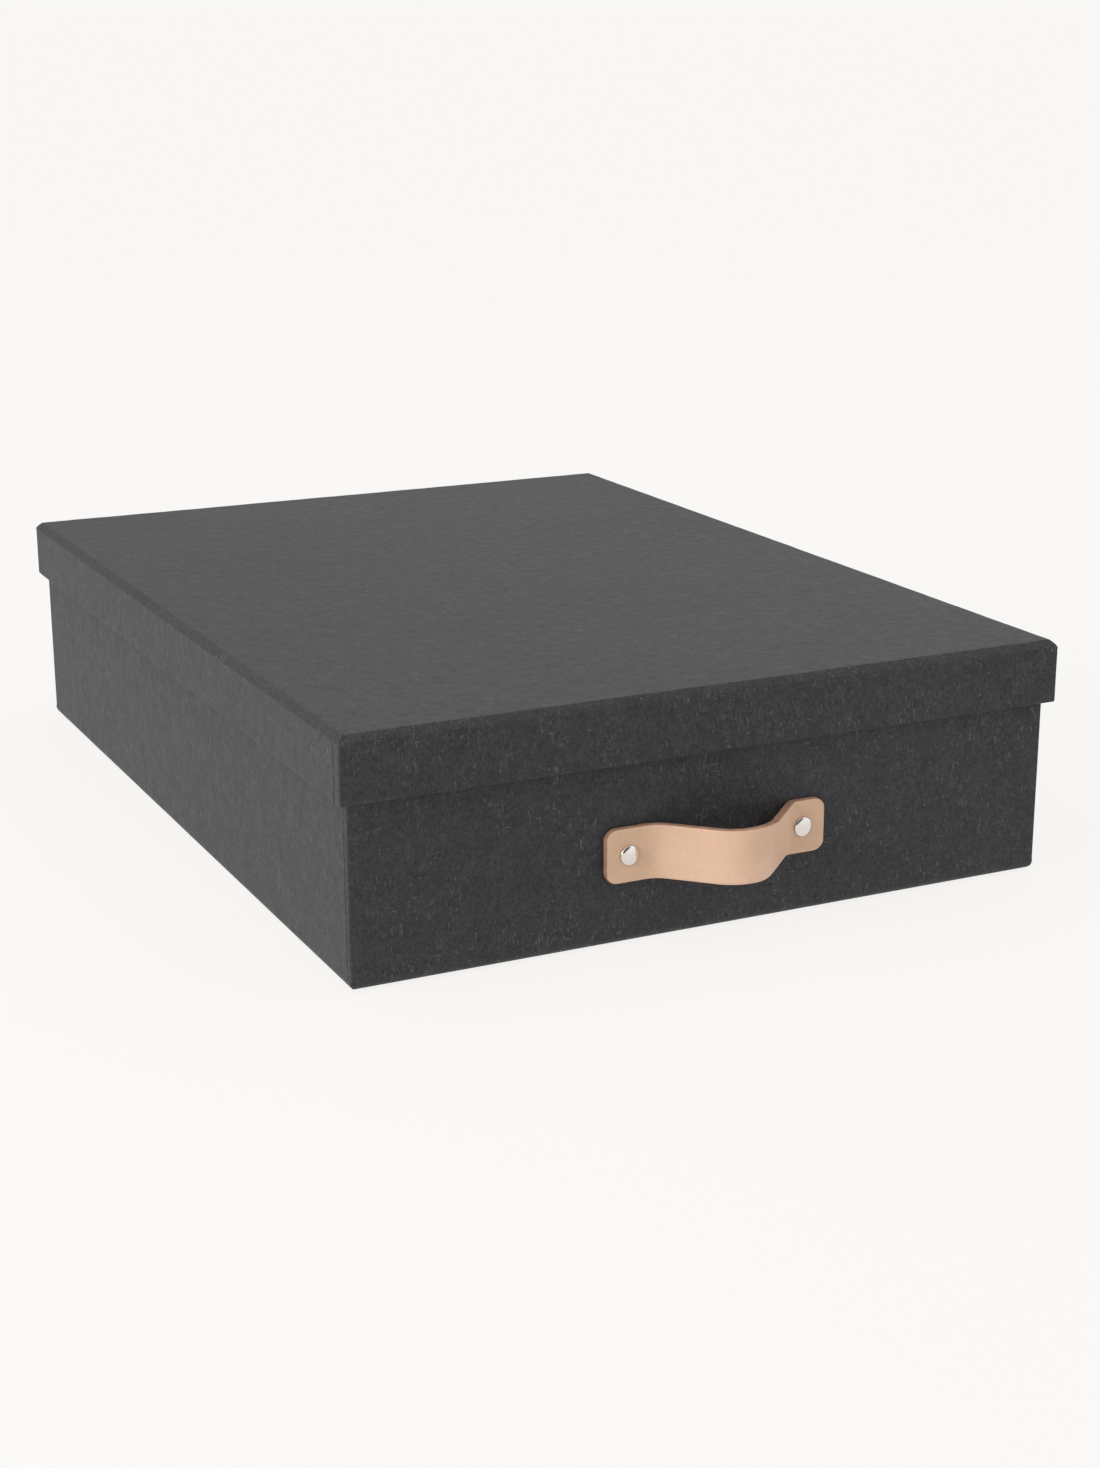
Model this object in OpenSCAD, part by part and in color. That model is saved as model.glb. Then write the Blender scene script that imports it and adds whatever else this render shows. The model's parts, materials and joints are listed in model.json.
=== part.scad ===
// Lidded archival document box: a folded board tray with a lift-off telescoping lid,
// both wrapped in charcoal paper, and a riveted leather pull strap on one short end.
// Units are millimetres. +Z is up, the handle faces -Y, and the origin is the centre of
// the underside.

/* [Box] */
// Outside width of the lid
lid_width = 260; // [220:1:320]
// Outside length of the lid, front to back
lid_length = 350; // [300:1:420]
// Height of the closed box
total_height = 82.5; // [60:0.5:140]
// Depth of the lid's skirt
skirt_depth = 21.6; // [15:0.1:40]
// How far the lid stands out past the tray on each side
overhang = 3.15; // [2.8:0.05:5]

/* [Board and paper] */
// Thickness of the grey board
board = 2; // [1.5:0.1:3]
// Thickness of the covering paper
paper = 0.25; // [0.15:0.05:0.4]
// Thickness of the lining paper
lining = 0.15; // [0.1:0.05:0.3]
// Thickness of the corner stay tape
stay = 0.15; // [0.1:0.05:0.2]
// Outside radius of the tray's folded lower edges
tray_fold_r = 3; // [1.5:0.1:4]
// Width of the lid's flattened fold, measured down each face
lid_bevel = 2.4; // [1.5:0.1:3]
// Outside radius of the upright corners
corner_r = 1.4; // [1:0.1:3]
// Distance from the end face to the edge of the long side's paper, on the tray
lap_setback = 2.2; // [1.8:0.1:5]
// Distance from the end face to the edge of the long side's paper, on the lid
lid_lap_setback = 4.3; // [1.8:0.1:6]
// Length of the paper's turn-ins and corner tabs
turn = 15; // [10:1:20]
// Length of each wing of a corner stay
stay_wing = 12; // [8:1:14]

/* [Handle] */
// Length of the strap end to end, as fitted
strap_length = 80.2; // [60:0.1:120]
// Width of the strap
strap_width = 18.4; // [12:0.1:30]
// Thickness of the strap
strap_thick = 2.5; // [1.5:0.1:4]
// Sideways position of the strap's centre
strap_x = -0.9; // [-5:0.1:5]
// Height of the strap's centre line
strap_z = 30.8; // [20:0.1:60]
// Sideways position of the arch's top
arch_x = 1.6; // [-5:0.1:5]
// Height of the arch's top above its feet
arch_rise = 18.3; // [12:0.1:25]
// Radius of the arch's top, to the strap's middle
arch_r = 14.3; // [8:0.1:30]
// Slope of the arch's left side
left_angle = 44.5; // [35:0.5:55]
// Slope of the arch's right side
right_angle = 45; // [35:0.5:55]
// Radius of the bend at the arch's left foot, to the strap's middle
left_foot_r = 10; // [4:0.5:12]
// Radius of the bend at the arch's right foot, to the strap's middle
right_foot_r = 4.5; // [4:0.5:12]
// Radius of the strap's end corners
strap_corner_r = 4; // [1:0.5:8]

/* [Rivets] */
// Distance between the two rivets
rivet_spacing = 63.8; // [40:0.1:100]
// Radius of the domed outer cap
cap_r = 3.3; // [2:0.1:5]
// Height of the domed outer cap
cap_h = 1.7; // [1:0.1:3]
// Radius of the shank
shank_r = 1.5; // [1:0.1:2]
// Clearance around the shank
shank_gap = 0.05; // [0:0.01:0.2]
// Radius of the inner flange
flange_r = 4; // [3:0.1:6]
// Thickness of the inner flange
flange_t = 0.8; // [0.4:0.1:1.5]

/* [Hidden] */
$fn = 64;
e = 1;

p = paper;
wall = board + lining + 2 * paper;
// tray: half sizes over the paper, and its rim
bx = lid_width / 2 - overhang;
by = lid_length / 2 - overhang;
rim = total_height - paper - board - lining;
// lid: half sizes over the paper, and the skirt's lower edge
lx = lid_width / 2;
ly = lid_length / 2;
skirt = total_height - skirt_depth;
// level where the tray's paper laps begin, just above the folded edge
lap_z = p + tray_fold_r + 0.5;
// level where the lid's paper laps end, at the lower border of the fold
lap_top = total_height - lid_bevel;
// the same bevel one paper further in
board_bevel = lid_bevel - (2 - sqrt(2)) * p;

charcoal = [0.23, 0.23, 0.24];
grey_board = [0.55, 0.53, 0.5];
lining_grey = [0.72, 0.71, 0.68];
kraft = [0.66, 0.53, 0.38];
tan_leather = [0.8, 0.62, 0.47];
nickel = [0.78, 0.77, 0.75];

// ---- shared shapes

// upright profile with rounded lower corners
module profile_down(h, z0, z1, r) {
  translate([-h, z0 + r]) square([2 * h, z1 - z0 - r]);
  translate([-h + r, z0]) square([2 * (h - r), r + 1]);
  for (s = [-1, 1]) translate([s * (h - r), z0 + r]) circle(r);
}

// upright profile with bevelled upper corners
module profile_up(h, z0, z1, b)
  polygon([[-h, z0], [h, z0], [h, z1 - b], [h - b, z1], [-h + b, z1], [-h, z1 - b]]);

// rounded rectangle
module plan(hx, hy, r) {
  square([2 * hx, 2 * (hy - r)], center = true);
  square([2 * (hx - r), 2 * hy], center = true);
  for (x = [-1, 1], y = [-1, 1]) translate([x * (hx - r), y * (hy - r)]) circle(r);
}

module along_y(len) rotate([90, 0, 0]) linear_extrude(len, center = true) children();
module along_x(len) rotate([90, 0, 90]) linear_extrude(len, center = true) children();

// block given by two opposite corners
module block(a, b) translate(a) cube([b[0] - a[0], b[1] - a[1], b[2] - a[2]]);

// block centred on X and Y
module slab(hx, hy, z0, z1) block([-hx, -hy, z0], [hx, hy, z1]);

// solid tray form, rounded below
module tray_form(hx, hy, z0, z1, r, rc) {
  intersection() {
    along_y(2 * hy + 8) profile_down(hx, z0, z1, r);
    along_x(2 * hx + 8) profile_down(hy, z0, z1, r);
    translate([0, 0, z0 - e]) linear_extrude(z1 - z0 + 2 * e) plan(hx, hy, rc);
  }
}

// solid lid form, bevelled above
module lid_form(hx, hy, z0, z1, b, rc) {
  intersection() {
    along_y(2 * hy + 8) profile_up(hx, z0, z1, b);
    along_x(2 * hx + 8) profile_up(hy, z0, z1, b);
    translate([0, 0, z0 - e]) linear_extrude(z1 - z0 + 2 * e) plan(hx, hy, rc);
  }
}

// one corner stay: an upright angle of tape around a corner
module stay_piece(hx, hy, z0, z1, sx, sy) {
  intersection() {
    difference() {
      translate([0, 0, z0]) linear_extrude(z1 - z0) plan(hx, hy, corner_r - p);
      translate([0, 0, z0 - e]) linear_extrude(z1 - z0 + 2 * e)
        plan(hx - stay, hy - stay, corner_r - p - stay);
    }
    translate([sx * (hx + e - (stay_wing + e) / 2), sy * (hy + e - (stay_wing + e) / 2), (z0 + z1) / 2])
      cube([stay_wing + e, stay_wing + e, z1 - z0 + 2 * e], center = true);
  }
}

// the recess of one corner for its stay and for the paper's tab
module corner_recess(hx, hy, z0, z1, sx, sy) {
  difference() {
    translate([sx * (hx + e - (stay_wing + e) / 2), sy * (hy + e - (stay_wing + e) / 2), (z0 + z1) / 2])
      cube([stay_wing + e, stay_wing + e, z1 - z0], center = true);
    translate([0, 0, z0 - e]) linear_extrude(z1 - z0 + 2 * e)
      plan(hx - stay, hy - stay, corner_r - p - stay);
  }
  translate([sx * (hx + e / 2), sy * (hy + p + e - (turn + e) / 2), (z0 + z1) / 2])
    cube([e, turn + e, z1 - z0], center = true);
}

// the two shank holes through the front wall
module shank_holes(r) {
  for (s = [-1, 1]) translate([strap_x + s * rivet_spacing / 2, -by - strap_thick - e, strap_z])
    rotate([-90, 0, 0]) cylinder(r = r, h = strap_thick + wall + 2 * e);
}

// ---- tray

// board form before its holes
module base_board_form() {
  difference() {
    tray_form(bx - p, by - p, 2 * p, rim - p, tray_fold_r - p, corner_r - p);
    slab(bx - p - board, by - p - board, 2 * p + board, rim + e);
    for (x = [-1, 1], y = [-1, 1])
      corner_recess(bx - 2 * p, by - p, p + tray_fold_r, rim, x, y);
  }
}

module base_blank() color(grey_board) difference() {
  base_board_form();
  shank_holes(shank_r + shank_gap);
}

module base_stay(sx, sy) color(kraft)
  stay_piece(bx - 2 * p, by - p, p + tray_fold_r, rim - p, sx, sy);

module base_lining_form() {
  difference() {
    slab(bx - p - board, by - p - board, 2 * p + board, rim - p);
    slab(bx - p - board - lining, by - p - board - lining, 2 * p + board + lining, rim + e);
  }
}

module base_lining() color(lining_grey) difference() {
  base_lining_form();
  shank_holes(shank_r + shank_gap);
}

// open space inside the tray, above its turn-ins and between them
module tray_hollow() {
  slab(bx - wall, by - wall, 2 * p + board, rim + e);
  slab(bx - wall + p, by - wall + p, 2 * p + board, rim - turn);
}

// paper of one long side: face, fold, turn-under, rim and turn-in
module side_paper_form(s) {
  difference() {
    union() {
      difference() {
        along_y(2 * (by - lap_setback)) profile_down(bx, p, rim, tray_fold_r);
        along_y(2 * by + 8) profile_down(bx - p, 2 * p, rim + e, tray_fold_r - p);
      }
      slab(bx, by - lap_setback, rim - p, rim);
      slab(bx - wall + p, by - wall, rim - turn, rim);
    }
    slab(bx - wall, by + e, rim - turn - e, rim + e);
    translate([s * (-turn - 4), 0, rim / 2])
      cube([2 * (bx + 4), 2 * by + 8, rim + 4 * e], center = true);
    for (y = [-1, 1])
      translate([s * bx, y * (by - lap_setback - 1 + 5), (lap_z - e) / 2])
        cube([2 * turn + 10, 10, lap_z + e], center = true);
  }
}

module base_cover_left() color(charcoal) side_paper_form(-1);
module base_cover_right() color(charcoal) side_paper_form(1);

// outer form of the tray's paper, stepped down where the long sides' paper stops short
module tray_paper_form() {
  difference() {
    tray_form(bx, by, p, rim, tray_fold_r, corner_r);
    for (x = [-1, 1], y = [-1, 1])
      translate([x * (bx - p + e), y * (by - lap_setback + 5), (lap_z + rim + e) / 2])
        cube([2 * e, 10, rim + e - lap_z], center = true);
  }
}

// paper of one short end: face, fold, turn-under, rim, turn-in and the two corner tabs
module end_paper_form(s) {
  difference() {
    intersection() {
      tray_paper_form();
      translate([0, s * (by - turn / 2 + e), rim / 2])
        cube([2 * bx + 8, turn + 2 * e, rim + 4 * e], center = true);
    }
    base_board_form();
    base_lining_form();
    tray_hollow();
    for (x = [-1, 1]) {
      side_paper_form(x);
      stay_piece(bx - 2 * p, by - p, p + tray_fold_r, rim - p, x, s);
    }
  }
}

module base_cover_front() color(charcoal) difference() {
  end_paper_form(-1);
  shank_holes(shank_r + shank_gap);
}

module base_cover_back() color(charcoal) end_paper_form(1);

// sheet over the turn-unders, which the box stands on
module base_bottom_sheet() color(charcoal) {
  slab(bx - 4, by - 4, 0, p);
  slab(bx - turn, by - turn, 0, 2 * p);
}

// ---- handle

// outward direction at slope a
function out(a) = [sin(a), -cos(a)];
mid_y = -by - strap_thick / 2;
steps = 14;
// half width of the arch: top bend, straight side at slope a, and foot bend of radius r
function half_width(a, r) = (arch_r + r) * sin(a)
  + (arch_rise - (arch_r + r) * (1 - cos(a))) * cos(a) / sin(a);
// the strap's middle line from the arch's top to one end: each entry is a point and its
// outward direction
function half_line(angle, r, x_end) = concat(
  [for (i = [0:steps]) let (a = angle * i / steps)
    [[0, mid_y - arch_rise + arch_r] + arch_r * out(a), out(a)]],
  [for (i = [steps:-1:0]) let (a = angle * i / steps)
    [[half_width(angle, r), mid_y - r] - r * out(a), out(a)]],
  [[[x_end, mid_y], out(0)]]);
function flip(v, s) = [s * v[0], v[1]];
function back_to_front(l) = [for (i = [len(l) - 1:-1:0]) l[i]];
// offset of a half line to one face, on the right (s = 1) or the left (s = -1)
function face(l, s, side) = [for (q = l) [arch_x, 0] + flip(q[0] + side * strap_thick / 2 * q[1], s)];

right = half_line(right_angle, right_foot_r, strap_x + strap_length / 2 - arch_x);
left = half_line(left_angle, left_foot_r, arch_x - strap_x + strap_length / 2);

module handle_strap() color(tan_leather) difference() {
  intersection() {
    translate([0, 0, strap_z - strap_width / 2]) linear_extrude(strap_width) polygon(concat(
      back_to_front(face(left, -1, 1)), [for (i = [1:len(right) - 1]) face(right, 1, 1)[i]],
      back_to_front(face(right, 1, -1)), [for (i = [1:len(left) - 1]) face(left, -1, -1)[i]]));
    translate([strap_x, -by - 15, strap_z]) rotate([90, 0, 0])
      linear_extrude(40, center = true) plan(strap_length / 2, strap_width / 2, strap_corner_r);
  }
  shank_holes(shank_r + shank_gap);
}

// domed outer cap with a blind socket for the shank
module rivet_cap(s) {
  dome_r = (cap_r * cap_r + (cap_h - 0.3) * (cap_h - 0.3)) / (2 * (cap_h - 0.3));
  color(nickel) translate([strap_x + s * rivet_spacing / 2, -by - strap_thick, strap_z])
    rotate([90, 0, 0]) difference() {
      intersection() {
        cylinder(r = cap_r, h = cap_h + e);
        translate([0, 0, cap_h - dome_r]) sphere(r = dome_r);
      }
      translate([0, 0, -e]) cylinder(r = shank_r + shank_gap, h = 0.8 + e);
    }
}

module rivet_cap_left() rivet_cap(-1);
module rivet_cap_right() rivet_cap(1);

// inner flange and the shank that runs through the wall and strap into the cap
module rivet_post(s) color(nickel)
  translate([strap_x + s * rivet_spacing / 2, -by + wall - p, strap_z]) rotate([90, 0, 0]) {
    translate([0, 0, -flange_t]) cylinder(r = flange_r, h = flange_t);
    translate([0, 0, -flange_t / 2]) cylinder(r = shank_r, h = flange_t / 2 + wall - p + strap_thick + 0.8);
  }

module rivet_post_left() rivet_post(-1);
module rivet_post_right() rivet_post(1);

// ---- lid

module lid_board_form() {
  difference() {
    lid_form(lx - p, ly - p, skirt + p, total_height - p, board_bevel, corner_r - p);
    slab(lx - p - board, ly - p - board, skirt - e, total_height - p - board);
    for (x = [-1, 1], y = [-1, 1])
      corner_recess(lx - 2 * p, ly - p, skirt, lap_top, x, y);
  }
}

module lid_blank() color(grey_board) lid_board_form();

module lid_stay(sx, sy) color(kraft)
  stay_piece(lx - 2 * p, ly - p, skirt + p, lap_top, sx, sy);

module lid_lining_form() {
  difference() {
    slab(lx - p - board, ly - p - board, skirt + p, total_height - p - board);
    slab(lx - p - board - lining, ly - p - board - lining, skirt - e, total_height - p - board - lining);
  }
}

module lid_lining() color(lining_grey) lid_lining_form();

// one wrap over the top, down the skirt, around the corners and inside
module lid_cover() color(charcoal) difference() {
  lid_form(lx, ly, skirt, total_height, lid_bevel, corner_r);
  for (x = [-1, 1], y = [-1, 1])
    translate([x * (lx - p + e), y * (ly - lid_lap_setback + 5), (skirt - e + lap_top) / 2])
      cube([2 * e, 10, lap_top - skirt + e], center = true);
  lid_board_form();
  lid_lining_form();
  for (x = [-1, 1], y = [-1, 1])
    stay_piece(lx - 2 * p, ly - p, skirt + p, lap_top, x, y);
  slab(lx - wall, ly - wall, skirt - e, total_height - p - board);
  slab(lx - wall + p, ly - wall + p, skirt + turn, total_height - p - board);
}

base_blank();
base_stay(-1, -1);  // base_stay_front_left
base_stay(1, -1);  // base_stay_front_right
base_stay(-1, 1);  // base_stay_back_left
base_stay(1, 1);  // base_stay_back_right
base_lining();
base_cover_left();
base_cover_right();
base_cover_front();
base_cover_back();
base_bottom_sheet();
handle_strap();
rivet_cap_left();
rivet_cap_right();
rivet_post_left();
rivet_post_right();
lid_blank();
lid_stay(-1, -1);  // lid_stay_front_left
lid_stay(1, -1);  // lid_stay_front_right
lid_stay(-1, 1);  // lid_stay_back_left
lid_stay(1, 1);  // lid_stay_back_right
lid_lining();
lid_cover();
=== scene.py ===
import json
import math

import bmesh
import bpy
from mathutils import Matrix, Vector, noise


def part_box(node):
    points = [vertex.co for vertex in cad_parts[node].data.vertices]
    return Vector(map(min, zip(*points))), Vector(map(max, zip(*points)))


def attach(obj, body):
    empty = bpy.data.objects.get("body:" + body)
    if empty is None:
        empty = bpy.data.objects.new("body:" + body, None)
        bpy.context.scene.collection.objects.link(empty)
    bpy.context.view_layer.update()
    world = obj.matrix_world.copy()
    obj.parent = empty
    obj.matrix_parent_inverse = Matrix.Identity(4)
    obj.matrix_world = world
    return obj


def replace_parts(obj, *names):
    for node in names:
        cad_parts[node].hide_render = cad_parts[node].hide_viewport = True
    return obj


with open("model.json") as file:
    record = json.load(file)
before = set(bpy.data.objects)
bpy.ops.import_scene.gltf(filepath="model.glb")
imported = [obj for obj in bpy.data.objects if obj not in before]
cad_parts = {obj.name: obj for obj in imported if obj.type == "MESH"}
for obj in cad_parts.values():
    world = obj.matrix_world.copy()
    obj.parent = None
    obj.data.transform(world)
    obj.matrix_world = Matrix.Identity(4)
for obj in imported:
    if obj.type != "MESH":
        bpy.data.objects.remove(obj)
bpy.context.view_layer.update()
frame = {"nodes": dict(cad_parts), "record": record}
scene = bpy.context.scene
MM = 0.001

# ------------------------------------------------------------------ camera
# Field of view and place fitted to the box's edges; the picture is 1100 x 1468.
AZ, EL, ROLL = math.radians(-25.857), math.radians(16.584), math.radians(-0.104)
CAM_AT = Vector((-0.36842, -0.80935, 0.28454))
FOCAL_PX = 2410.53
back = Vector((math.sin(AZ) * math.cos(EL), -math.cos(AZ) * math.cos(EL), math.sin(EL)))
right = (-back).cross(Vector((0, 0, 1))).normalized()
up = right.cross(-back)
cam_x = math.cos(ROLL) * right + math.sin(ROLL) * up
cam_y = -math.sin(ROLL) * right + math.cos(ROLL) * up
cam = bpy.data.objects.new("camera", bpy.data.cameras.new("camera"))
scene.collection.objects.link(cam)
cam.matrix_world = Matrix((
    (cam_x.x, cam_y.x, back.x, CAM_AT.x),
    (cam_x.y, cam_y.y, back.y, CAM_AT.y),
    (cam_x.z, cam_y.z, back.z, CAM_AT.z),
    (0, 0, 0, 1)))
cam.data.sensor_fit = "AUTO"
cam.data.sensor_width = 36.0
cam.data.lens = FOCAL_PX / 1468 * 36.0
cam.data.clip_start = 0.01
cam.data.clip_end = 200.0
cam.data.dof.use_dof = False
scene.camera = cam

# ------------------------------------------------------------------ sizes, from the frame
lid_lo, lid_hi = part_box("lid_cover")
side_lo, side_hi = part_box("base_cover_right")
end_lo, end_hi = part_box("base_cover_front")
strap_lo, strap_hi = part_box("handle_strap")
capL_lo, capL_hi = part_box("rivet_cap_left")
capR_lo, capR_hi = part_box("rivet_cap_right")
LX, LY, H = lid_hi.x / MM, lid_hi.y / MM, lid_hi.z / MM
SKIRT = lid_lo.z / MM
BX, BY, RIM = side_hi.x / MM, -end_lo.y / MM, side_hi.z / MM
P = 0.25            # covering paper
WALL = 2.65         # wall with lining and turn-in
TURN = 15.0         # turn-ins
LAP = 2.2           # long sides' paper stops this far from the end face, on the tray
LID_LAP = 4.3       # the same on the lid
CR = 0.85           # upright corners
TRAY_R, LID_B = 3.0, 2.4
STEP = 0.17         # how far the corner wraps lie back from the long sides' paper


# ------------------------------------------------------------------ node helpers
class Nodes:
    def __init__(self, name):
        self.mat = bpy.data.materials.new(name)
        self.mat.use_nodes = True
        self.t = self.mat.node_tree
        self.t.nodes.clear()
        self.out = self.t.nodes.new("ShaderNodeOutputMaterial")
        self.bsdf = self.t.nodes.new("ShaderNodeBsdfPrincipled")
        self.t.links.new(self.bsdf.outputs[0], self.out.inputs[0])
        self.co = self.t.nodes.new("ShaderNodeTexCoord").outputs["Object"]

    def link(self, a, b):
        self.t.links.new(a, b)

    def mapping(self, scale=(1, 1, 1), rot=(0, 0, 0), loc=(0, 0, 0)):
        n = self.t.nodes.new("ShaderNodeMapping")
        n.inputs["Scale"].default_value = scale
        n.inputs["Rotation"].default_value = rot
        n.inputs["Location"].default_value = loc
        self.link(self.co, n.inputs["Vector"])
        return n.outputs[0]

    def noise(self, scale, detail=2.0, rough=0.5, vec=None, distortion=0.0):
        n = self.t.nodes.new("ShaderNodeTexNoise")
        n.inputs["Scale"].default_value = scale
        n.inputs["Detail"].default_value = detail
        n.inputs["Roughness"].default_value = rough
        n.inputs["Distortion"].default_value = distortion
        self.link(vec if vec is not None else self.co, n.inputs["Vector"])
        return n.outputs["Fac"]

    def voronoi(self, scale, feature="F1", vec=None, rand=1.0):
        n = self.t.nodes.new("ShaderNodeTexVoronoi")
        n.feature = feature
        n.inputs["Scale"].default_value = scale
        n.inputs["Randomness"].default_value = rand
        self.link(vec if vec is not None else self.co, n.inputs["Vector"])
        return n

    def remap(self, v, a, b, c, d, smooth=False):
        n = self.t.nodes.new("ShaderNodeMapRange")
        n.interpolation_type = "SMOOTHSTEP" if smooth else "LINEAR"
        for k, x in zip(("From Min", "From Max", "To Min", "To Max"), (a, b, c, d)):
            n.inputs[k].default_value = x
        self.link(v, n.inputs["Value"])
        return n.outputs[0]

    def math(self, op, a, b=None):
        n = self.t.nodes.new("ShaderNodeMath")
        n.operation = op
        for i, v in enumerate((a, b)):
            if v is None:
                continue
            if isinstance(v, (int, float)):
                n.inputs[i].default_value = v
            else:
                self.link(v, n.inputs[i])
        return n.outputs[0]

    def mix(self, fac, a, b, kind="MIX"):
        n = self.t.nodes.new("ShaderNodeMix")
        n.data_type = "RGBA"
        n.blend_type = kind
        for sock, v in ((n.inputs[0], fac), (n.inputs[6], a), (n.inputs[7], b)):
            if isinstance(v, (int, float)):
                sock.default_value = v
            elif isinstance(v, tuple):
                sock.default_value = (*v, 1.0)
            else:
                self.link(v, sock)
        return n.outputs[2]

    def grey(self, v):
        n = self.t.nodes.new("ShaderNodeCombineColor")
        for i in range(3):
            self.link(v, n.inputs[i])
        return n.outputs[0]

    def attribute(self, name):
        n = self.t.nodes.new("ShaderNodeAttribute")
        n.attribute_name = name
        return n.outputs["Fac"]

    def bump(self, height, strength, distance, normal=None):
        n = self.t.nodes.new("ShaderNodeBump")
        n.inputs["Strength"].default_value = strength
        n.inputs["Distance"].default_value = distance
        self.link(height, n.inputs["Height"])
        if normal is not None:
            self.link(normal, n.inputs["Normal"])
        return n.outputs[0]

    def set(self, **k):
        for name, v in k.items():
            self.bsdf.inputs[name.replace("_", " ")].default_value = v

    def done(self, colour=None, rough=None, normal=None, metal=None):
        if colour is not None:
            self.link(colour, self.bsdf.inputs["Base Color"])
        if rough is not None:
            self.link(rough, self.bsdf.inputs["Roughness"])
        if normal is not None:
            self.link(normal, self.bsdf.inputs["Normal"])
        return self.mat


# ------------------------------------------------------------------ materials
def charcoal_paper():
    """Uncoated dyed paper: cloudy formation, fine mottling, light fibres and specks."""
    n = Nodes("charcoal_paper")
    cloud = n.noise(11.0, 3.0, 0.55)
    mottle = n.noise(300.0, 4.0, 0.68)
    fleck = n.noise(900.0, 2.0, 0.6)
    tone = n.math("MULTIPLY", n.remap(cloud, 0.3, 0.7, 0.92, 1.08), n.remap(mottle, 0.3, 0.7, 0.74, 1.26))
    tone = n.math("MULTIPLY", tone, n.remap(fleck, 0.3, 0.7, 0.66, 1.36))
    base = n.mix(1.0, (0.0240, 0.0240, 0.0268), n.grey(tone), "MULTIPLY")
    # short fibres: three families of stretched noise, mostly upright
    f1 = n.remap(n.noise(1.0, 1.0, 0.5, n.mapping((1500, 1500, 420)), 0.6), 0.64, 0.74, 0, 1, True)
    f2 = n.remap(n.noise(1.0, 1.0, 0.5, n.mapping((1500, 1500, 360), (0.5, 0.9, 0.3)), 0.6), 0.66, 0.76, 0, 1, True)
    f3 = n.remap(n.noise(1.0, 1.0, 0.5, n.mapping((420, 1500, 1500), (0.2, 0.5, 0.4), (3, 5, 7)), 0.5), 0.67, 0.77, 0, 1, True)
    patch = n.remap(n.noise(95.0, 2.0, 0.5), 0.40, 0.62, 0.25, 1.0, True)
    fibres = n.math("MULTIPLY", n.math("MAXIMUM", f1, n.math("MAXIMUM", f2, f3)), patch)
    v = n.voronoi(620.0)
    dot = n.remap(n.math("ADD", v.outputs["Distance"], n.math("MULTIPLY", fleck, 0.5)), 0.30, 0.48, 1.0, 0.0, True)
    sep = n.t.nodes.new("ShaderNodeSeparateColor")
    n.link(v.outputs["Color"], sep.inputs[0])
    pick = n.remap(sep.outputs[0], 0.93, 0.97, 0.0, 1.0)
    specks = n.math("MULTIPLY", dot, pick)
    col = n.mix(n.math("MULTIPLY", fibres, 0.75), base, (0.098, 0.097, 0.101))
    col = n.mix(n.math("MULTIPLY", specks, 0.6), col, (0.16, 0.158, 0.16))
    # dark fibres
    dk = n.remap(n.noise(1.0, 1.0, 0.5, n.mapping((1300, 1300, 500), (0.9, 0.2, 0.5), (11, 2, 5)), 0.5), 0.64, 0.76, 0, 1, True)
    col = n.mix(n.math("MULTIPLY", dk, 0.75), col, (0.007, 0.007, 0.0075))
    rough = n.remap(n.noise(240.0, 3.0, 0.6), 0.3, 0.7, 0.56, 0.68)
    tooth = n.math("ADD", n.noise(1700.0, 3.0, 0.6), n.math("MULTIPLY", fibres, 0.5))
    b1 = n.bump(tooth, 0.55, 0.00005)
    b2 = n.bump(n.noise(130.0, 2.0, 0.5), 0.35, 0.0002, b1)
    n.set(IOR=1.38, Sheen_Weight=0.06, Sheen_Roughness=0.45)
    return n.done(col, rough, b2)


def lining_paper():
    """Plain acid-free lining, off white with faint fibres."""
    n = Nodes("lining_paper")
    tone = n.math("MULTIPLY", n.remap(n.noise(14.0, 3.0, 0.5), 0.3, 0.7, 0.96, 1.03), n.remap(n.noise(500.0, 3.0, 0.6), 0.3, 0.7, 0.95, 1.04))
    base = n.mix(1.0, (0.50, 0.475, 0.43), n.grey(tone), "MULTIPLY")
    f = n.remap(n.noise(1.0, 1.0, 0.5, n.mapping((1300, 420, 1300), (0.3, 0.4, 0.7)), 0.5), 0.66, 0.76, 0, 1, True)
    col = n.mix(n.math("MULTIPLY", f, 0.35), base, (0.30, 0.27, 0.23))
    rough = n.remap(n.noise(200.0, 3.0, 0.6), 0.3, 0.7, 0.72, 0.84)
    b = n.bump(n.noise(1500.0, 3.0, 0.6), 0.4, 0.00004)
    n.set(IOR=1.4)
    return n.done(col, rough, b)


def grey_board():
    """Solid grey board made from recycled fibre, seen only where it is bare."""
    n = Nodes("grey_board")
    base = n.mix(n.remap(n.noise(300.0, 4.0, 0.65), 0.35, 0.65, 0, 1), (0.25, 0.235, 0.21), (0.36, 0.34, 0.30))
    spec = n.voronoi(900.0)
    dot = n.remap(spec.outputs["Distance"], 0.1, 0.25, 0.5, 0.0, True)
    col = n.mix(dot, base, (0.10, 0.10, 0.11))
    rough = n.remap(n.noise(220.0, 3.0, 0.6), 0.3, 0.7, 0.8, 0.92)
    b = n.bump(n.noise(1200.0, 4.0, 0.65), 0.6, 0.00008)
    n.set(IOR=1.4)
    return n.done(col, rough, b)


def kraft_tape():
    n = Nodes("kraft_tape")
    base = n.mix(n.remap(n.noise(1.0, 2.0, 0.5, n.mapping((900, 900, 60))), 0.35, 0.65, 0, 1), (0.34, 0.21, 0.11), (0.44, 0.29, 0.16))
    rough = n.remap(n.noise(200.0, 3.0, 0.6), 0.3, 0.7, 0.55, 0.7)
    b = n.bump(n.noise(1400.0, 3.0, 0.6), 0.4, 0.00004)
    return n.done(base, rough, b)


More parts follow.
